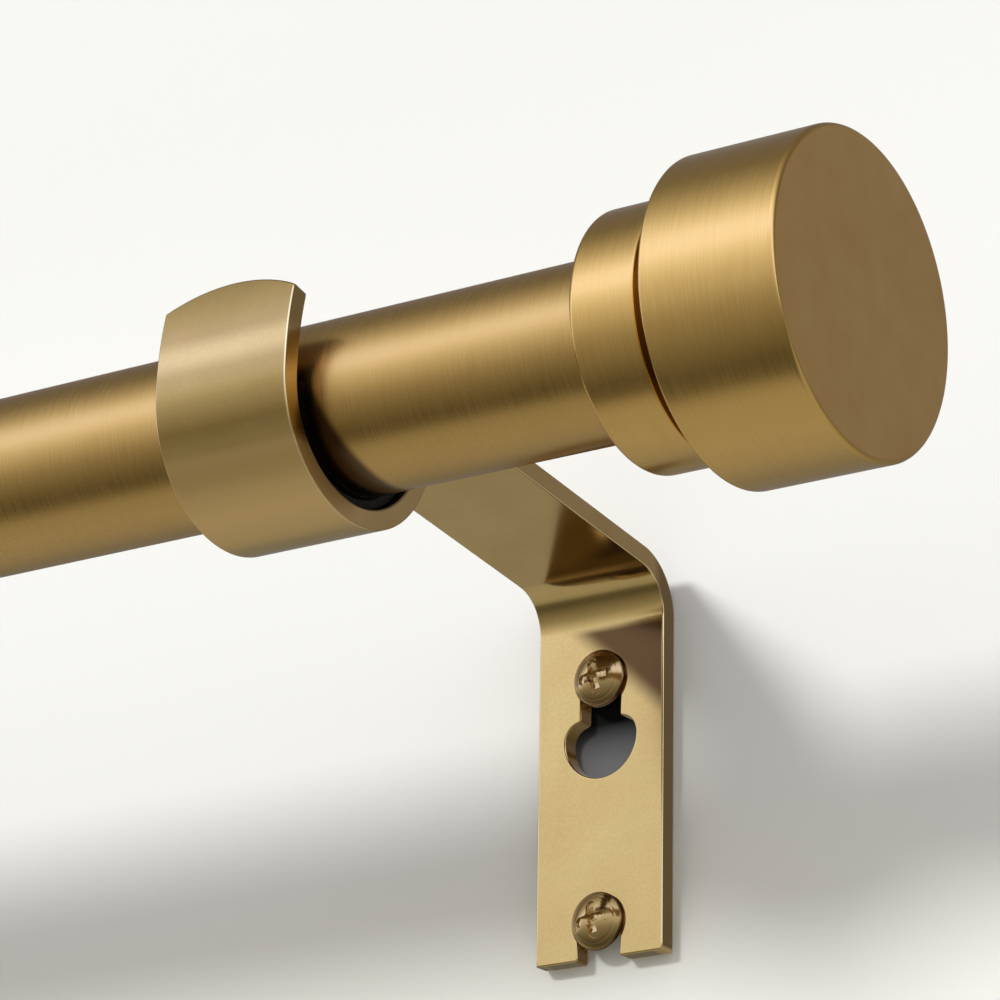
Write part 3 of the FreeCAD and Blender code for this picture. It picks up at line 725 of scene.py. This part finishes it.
def strip_brass(side, shift_x, shift_z):
    """The bracket's plated strip, with tones by the place on it, measured from its own cradle's axis.

    It has painted shade on the lip, weaker in a band that stands for a painted highlight, and painted shade
    inside the cradle, in the plate's upper corner, on the keyhole's wall and on the plate's cut sides; under
    the cradle it is matt with painted light, and it has a painted highlight along the side edges.
    What is mirrored of it is darker than what is seen.
    """
    material = plated_brass(f"Satin brass strip {side}", (0.68, 0.48, 0.185, 1), (0.83, 0.62, 0.275, 1),
                            0.12, 0.18, 0.5, 0.000003, 3200.0)
    tree, shader = material.node_tree, material.node_tree.nodes["Principled BSDF"]
    place = add(tree, "ShaderNodeMapping", {
        "Vector": add(tree, "ShaderNodeTexCoord").outputs["Object"],
        "Location": (-shift_x * MM, -ROD_Y * MM, -(CRADLE_Z + shift_z) * MM)}).outputs[0]
    across, towards_wall, up = add(tree, "ShaderNodeSeparateXYZ", {0: place}).outputs
    aside = math_node(tree, "ABSOLUTE", across)
    colour = shader.inputs["Base Color"].links[0].from_socket
    # Painted shade on the lip, weaker in a band across it that stands for a painted highlight
    lip = both(tree, mask(tree, towards_wall, -FAR, -0.013, 0.004), mask(tree, up, -0.0055, FAR, 0.003))
    lip_painted_highlight = mask(tree, up, 0.0049, 0.0052, 0.003)
    colour = toned(tree, colour, both(tree, lip, spread(tree, lip_painted_highlight, 1.0, 0.3)), LIP_PAINTED_SHADE)
    # Painted shade inside the cradle
    colour = toned(tree, colour, mask(tree, from_axis(tree, place), -FAR, 0.0147, 0.0003), CRADLE_PAINTED_SHADE)
    # Under the cradle: painted light, a paler colour, and a matt finish
    under = both(tree, mask(tree, up, -FAR, -0.0100, 0.003), mask(tree, towards_wall, -FAR, -0.003, 0.005))
    colour = between(tree, under, colour, UNDER_CRADLE_PAINTED_LIGHT)
    rough = shader.inputs["Roughness"].links[0].from_socket
    tree.links.new(add(tree, "ShaderNodeMix", {0: under, 2: rough, 3: 0.5}).outputs[0],
                   shader.inputs["Roughness"])
    # Painted shade on the plate's cut sides near the wall
    cut = both(tree, mask(tree, aside, 0.01117, FAR, 0.00002), mask(tree, towards_wall, 0.0780, FAR, 0.003))
    colour = toned(tree, colour, cut, CUT_SIDE_PAINTED_SHADE)
    # Painted shade on the keyhole's wall
    hole = both(tree, mask(tree, aside, -FAR, 0.009, 0.001),
                mask(tree, towards_wall, 0.0786, 0.0811, 0.00015))
    colour = toned(tree, colour, hole, HOLE_WALL_PAINTED_SHADE)
    # Painted dark reflection of the arm's underside in the plate's upper corner
    slanted = math_node(tree, "ADD", up, math_node(tree, "MULTIPLY", across, 0.92))
    corner = mask(tree, slanted, -0.0102, FAR, 0.0052)
    for value, start, stop, softness in (
            (up, -FAR, -0.0098, 0.0016), (towards_wall, 0.070, 0.0787, 0.0005),
            (aside, -FAR, 0.0107, 0.0003)):
        corner = both(tree, corner, mask(tree, value, start, stop, softness))
    colour = toned(tree, colour, corner, PLATE_CORNER_PAINTED_REFLECTION)
    # Painted highlight along the side edges
    colour = between(tree, mask(tree, aside, 0.01098, 0.01112, 0.00006), colour, EDGE_PAINTED_HIGHLIGHT)
    mirrored = add(tree, "ShaderNodeLightPath").outputs["Is Glossy Ray"]
    tree.links.new(toned(tree, colour, mirrored, MIRRORED_TONE), shader.inputs["Base Color"])
    return material


def speckled_rubber():
    """Black rubber with a few pale specks of dust in its skin."""
    material, tree, shader, place = start_material("Speckled rubber")
    skin = effect(tree, grain, {"Place": place, "Grains per metre": 6000.0})
    specks = spread(tree, skin["Grain"], 0.0, 1.0, 0.86, 0.96)
    tree.links.new(between(tree, specks, (0.012, 0.011, 0.011, 1), (0.4, 0.39, 0.37, 1)),
                   shader.inputs["Base Color"])
    tree.links.new(spread(tree, skin["Grain"], 0.55, 0.8), shader.inputs["Roughness"])
    bump(tree, shader, skin["Height"], 0.00002)
    return material


def moulded_nylon():
    """Natural nylon, slightly cloudy, with a matt moulded skin."""
    material, tree, shader, place = start_material("Moulded nylon")
    skin = effect(tree, grain, {"Place": place, "Grains per metre": 1500.0})
    tone = effect(tree, tone_group, {"Place": place, "Patches per metre": 150.0})["Tone"]
    tree.links.new(between(tree, tone, (0.70, 0.67, 0.60, 1), (0.80, 0.78, 0.72, 1)),
                   shader.inputs["Base Color"])
    tree.links.new(spread(tree, skin["Grain"], 0.38, 0.52), shader.inputs["Roughness"])
    bump(tree, shader, skin["Height"], 0.000012)
    return material


def zinc_steel():
    """Zinc plated steel, grey with a faint mottle."""
    material, tree, shader, place = start_material("Zinc steel")
    skin = effect(tree, grain, {"Place": place, "Grains per metre": 2400.0})
    tree.links.new(between(tree, skin["Grain"], (0.42, 0.43, 0.45, 1), (0.62, 0.63, 0.64, 1)),
                   shader.inputs["Base Color"])
    tree.links.new(spread(tree, skin["Grain"], 0.28, 0.42), shader.inputs["Roughness"])
    bump(tree, shader, skin["Height"], 0.000006)
    shader.inputs["Metallic"].default_value = 1.0
    return material


def screw_material():
    """Plated wall screw, with painted shade round the head's rim where it meets the plate."""
    material = plated_brass("Polished brass screw", (0.52, 0.36, 0.15, 1), (0.66, 0.48, 0.23, 1),
                            0.13, 0.22, 0.3, 0.000002, 5000.0)
    tree, shader = material.node_tree, material.node_tree.nodes["Principled BSDF"]
    place = add(tree, "ShaderNodeTexCoord").outputs["Object"]
    depth = add(tree, "ShaderNodeSeparateXYZ", {0: place}).outputs[1]
    # Painted shade round the head's rim
    rim = mask(tree, depth, -0.0036, -0.0029, 0.0002)
    colour = toned(tree, shader.inputs["Base Color"].links[0].from_socket, rim, SCREW_RIM_PAINTED_SHADE)
    tree.links.new(colour, shader.inputs["Base Color"])
    return material


screw_brass = screw_material()
tube_brass = brushed_brass("Brushed brass tube", (0.66, 0.41, 0.12, 1), (0.79, 0.52, 0.185, 1),
                           0.22, 0.34, 0.6, 0.000005, shaded=10.7)
rubber, nylon, zinc = speckled_rubber(), moulded_nylon(), zinc_steel()


# Pieces

THICK_ENDS = (-573.3, 66.7)
THIN_ENDS = (-733.3, -73.3)
THICK_RADIUS = 12.7
THIN_RADIUS = 11.1
# Where the two collars' mouths stand, and their bores
RIGHT_COLLAR = (57.5, 12.73)
LEFT_COLLAR = (-724.1, 11.13)
GROOVE_WIDTH = 3.7
UPPER_TURN, LOWER_TURN = math.radians(10), math.radians(8)

thick_tube = make_piece("thick_tube", tube(*THICK_ENDS, THICK_RADIUS), tube_brass,
                        "thick_half", "outer_tube")
thin_tube = make_piece("thin_tube", tube(*THIN_ENDS, THIN_RADIUS), tube_brass,
                       "thin_half", "inner_tube")
thick_tube.visible_glossy = thin_tube.visible_glossy = False

# Ring: a sleeve in the thick tube's mouth with a rim outside it
ring_outline = rounded_outline([
    (-574.5, 11.18, 0.3), (-555.3, 11.18, 0.2), (-555.3, 11.87, 0.2), (THICK_ENDS[0], 11.87, 0.05),
    (THICK_ENDS[0], THICK_RADIUS, 0.05), (-574.5, THICK_RADIUS, 0.3)])
make_piece("guide_ring", [turned(*ring_outline)], nylon, "thick_half", "mouth_ring")

for side, body, right, (mouth, bore), shift_x, shift_z in (
        ("right", "thick_half", True, RIGHT_COLLAR, 0.0, 0.0),
        ("left", "thin_half", False, LEFT_COLLAR, LEFT_X, LEFT_RISE)):
    end = mouth + (COLLAR_LENGTH if right else -COLLAR_LENGTH)
    neck = end - (GROOVE_WIDTH if right else -GROOVE_WIDTH)
    cap_brass = brushed_brass(f"Brushed brass cap {side}", (0.80, 0.505, 0.145, 1), (0.91, 0.61, 0.22, 1),
                              0.13, 0.25, 0.6, 0.000006, groove=sorted((neck, end)))
    make_piece(f"collar_{side}", collar(mouth, right, bore), cap_brass,
               body, f"cap_collar_{side}")
    make_piece(f"cap_{side}", cap(end, right), cap_brass, body, f"end_cap_{side}")
    make_piece(f"strip_{side}", bracket_sheets(shift_x, shift_z), strip_brass(side, shift_x, shift_z),
               body, f"bracket_{side}")
    make_piece(f"pad_{side}", pad_sheets(shift_x, shift_z), rubber,
               body, f"cradle_pad_{side}")
    upper_z = UPPER_SCREW_Z + shift_z
    screws = screw_sheets(shift_x, upper_z, UPPER_TURN)
    screws += screw_sheets(shift_x, upper_z - SCREW_SPACING, LOWER_TURN)
    make_piece(f"screws_{side}", screws, screw_brass, body, f"wall_screws_{side}")
    for node, material in ((f"cap_plug_{side}", nylon), (f"cap_stud_{side}", zinc)):
        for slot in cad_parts[node].material_slots:
            slot.material = material
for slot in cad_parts["inner_glide"].material_slots:
    slot.material = nylon
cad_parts["inner_glide"].visible_glossy = False


# Stage, light and camera

def pale_sheet(name, corners, colour):
    """Flat stage surface, seen and lit from its front only."""
    mesh = bpy.data.meshes.new(name)
    mesh.from_pydata(corners, [], [tuple(range(len(corners)))])
    material = bpy.data.materials.new(name)
    material.use_nodes = True
    tree = material.node_tree
    shader = tree.nodes["Principled BSDF"]
    shader.inputs["Base Color"].default_value = colour
    shader.inputs["Roughness"].default_value = 0.9
    shader.inputs["Specular IOR Level"].default_value = 0.0
    mixed = add(tree, "ShaderNodeMixShader", {
        0: add(tree, "ShaderNodeNewGeometry").outputs["Backfacing"], 1: shader.outputs[0],
        2: add(tree, "ShaderNodeBsdfTransparent").outputs[0]})
    tree.links.new(mixed.outputs[0], tree.nodes["Material Output"].inputs["Surface"])
    mesh.materials.append(material)
    sheet = bpy.data.objects.new(name, mesh)
    bpy.context.scene.collection.objects.link(sheet)
    sheet.visible_glossy = False
    return sheet


# Stage sizes in metres. The wall stands a hair behind the plates, so that neither surface shows through
# the other from behind
STAGE_LEFT, STAGE_RIGHT, STAGE_FRONT, STAGE_TOP = -1.9, 1.2, -0.8, 1.1
FLOOR_Z = -0.6
WALL_Y = 0.0002
pale_sheet("wall", [
    (STAGE_LEFT, WALL_Y, FLOOR_Z), (STAGE_RIGHT, WALL_Y, FLOOR_Z),
    (STAGE_RIGHT, WALL_Y, STAGE_TOP), (STAGE_LEFT, WALL_Y, STAGE_TOP)], (0.866, 0.862, 0.802, 1))
pale_sheet("floor", [
    (STAGE_LEFT, STAGE_FRONT, FLOOR_Z), (STAGE_RIGHT, STAGE_FRONT, FLOOR_Z),
    (STAGE_RIGHT, WALL_Y, FLOOR_Z), (STAGE_LEFT, WALL_Y, FLOOR_Z)], (0.68, 0.675, 0.65, 1))

# Shade on the wall behind the right keyhole, darkest under the screw head
SHADE_HALF, SHADE_Y, SHADE_LOW, SHADE_HIGH = 0.008, -0.0002, 0.008, 0.03
shade = pale_sheet("keyhole_shade", [
    (-SHADE_HALF, SHADE_Y, SHADE_LOW), (SHADE_HALF, SHADE_Y, SHADE_LOW),
    (SHADE_HALF, SHADE_Y, SHADE_HIGH), (-SHADE_HALF, SHADE_Y, SHADE_HIGH)], (0.1, 0.1, 0.11, 1))
shade_tree = shade.data.materials[0].node_tree
shade_place = add(shade_tree, "ShaderNodeTexCoord").outputs["Object"]
shade_up = add(shade_tree, "ShaderNodeSeparateXYZ", {0: shade_place}).outputs[2]
shade_tree.links.new(between(shade_tree, spread(shade_tree, shade_up, 0.0, 1.0, 0.010, 0.019),
                             (0.30, 0.30, 0.305, 1), (0.01, 0.01, 0.01, 1)),
                     shade_tree.nodes["Principled BSDF"].inputs["Base Color"])

# Stand-in for the thick tube at the right bracket's cradle: a barrel that only reflections meet
BARREL_ENDS = np.array([[-30.0], [57.0]])
BARREL_RADIUS = 12.65
mirrored_tube = bpy.data.meshes.new("mirrored_tube")
turn = np.linspace(0, 2 * math.pi, 129)
both_ends = np.zeros((2, 1))
barrel = np.stack([BARREL_ENDS + 0 * turn, ROD_Y + BARREL_RADIUS * np.cos(turn) + both_ends,
                   ROD_Z + BARREL_RADIUS * np.sin(turn) + both_ends], -1) * MM
count = len(turn)
mirrored_tube.from_pydata(barrel.reshape(-1, 3).tolist(), [], [
    (i, i + 1, count + i + 1, count + i) for i in range(count - 1)])
mirrored_tube.polygons.foreach_set("use_smooth", np.ones(count - 1, bool))
mirrored_tube.materials.append(tube_brass)
mirrored = bpy.data.objects.new("mirrored_tube", mirrored_tube)
bpy.context.scene.collection.objects.link(mirrored)
mirrored.visible_camera = mirrored.visible_diffuse = False
mirrored.visible_shadow = mirrored.visible_transmission = False

# Studio light by the angle round the rod, in degrees up from straight out of the wall
STUDIO = [
    (-180, 0.20), (-157, 0.24), (-133, 0.36), (-110, 0.41), (-80, 0.39), (-71, 0.32), (-64, 0.13),
    (-53, 0.10), (-42, 0.16), (-33, 0.21), (-23, 0.27), (-11, 0.35), (1, 0.53), (13, 0.70), (24, 0.94),
    (32, 1.17), (42, 1.16), (52, 0.88), (64, 0.54), (78, 0.31), (92, 0.18), (122, 0.17), (148, 0.265),
    (165, 0.24), (180, 0.20)]
BRIGHTEST = 1.3
# The weaker the light the warmer it is, less so behind the wall, and the strongest turns cool
NEUTRAL, COOL_FROM, BEHIND_FROM = 0.75, 0.95, 120

world = bpy.data.worlds.new("Studio")
world.use_nodes = True
bpy.context.scene.world = world
sky = world.node_tree
sky_direction = add(sky, "ShaderNodeTexCoord").outputs["Generated"]
direction = add(sky, "ShaderNodeSeparateXYZ", {0: sky_direction}).outputs
around = math_node(sky, "ARCTAN2", direction[2], math_node(sky, "MULTIPLY", direction[1], -1.0))
ramp = add(sky, "ShaderNodeValToRGB", {0: spread(sky, around, 0.0, 1.0, -math.pi, math.pi)})
stops = ramp.color_ramp.elements
while len(stops) > 1:
    stops.remove(stops[-1])
stops[0].position = 0.0
for _ in STUDIO[1:]:
    stops.new(1.0)
for stop, (angle, strength) in zip(stops, STUDIO):
    stop.position = (angle + 180) / 360
    warmth = 1 - strength / NEUTRAL
    level = strength / BRIGHTEST
    behind = angle > BEHIND_FROM
    green = 1 - (0.13 if behind else 0.10) * warmth
    blue = 1 - (0.22 if behind else 0.42) * warmth + 0.9 * max(strength - COOL_FROM, 0)
    stop.color = (level, level * green, level * blue, 1)
background = sky.nodes["Background"]
sky.links.new(ramp.outputs[0], background.inputs["Color"])
background.inputs["Strength"].default_value = BRIGHTEST

key = bpy.data.lights.new("Key", "SUN")
key.energy = 1.93
key.angle = math.radians(11.5)
key_lamp = bpy.data.objects.new("Key", key)
key_lamp.rotation_euler = Vector((0.345, 0.822, -0.455)).to_track_quat("-Z", "Y").to_euler()
key_lamp.visible_glossy = False
bpy.context.scene.collection.objects.link(key_lamp)

# Camera at the photograph's angle on the right end: where it stands, and its own three axes
CAMERA_PLACE = (0.39598, -0.60536, -0.19966)
CAMERA_RIGHT = Vector((0.82651, 0.56271, 0.01572))
CAMERA_UP = Vector((0.17431, -0.28238, 0.94333))
CAMERA_AHEAD = Vector((-0.53526, 0.77693, 0.33148))
camera = bpy.data.objects.new("Camera", bpy.data.cameras.new("Camera"))
camera.data.sensor_width = 36.0
camera.data.lens = 180.08
camera.data.clip_start = 0.02
camera_axes = Matrix((CAMERA_RIGHT, CAMERA_UP, -CAMERA_AHEAD)).transposed().to_4x4()
camera.matrix_world = Matrix.Translation(CAMERA_PLACE) @ camera_axes
bpy.context.scene.collection.objects.link(camera)
bpy.context.scene.camera = camera
bpy.context.scene.view_settings.view_transform = "Standard"
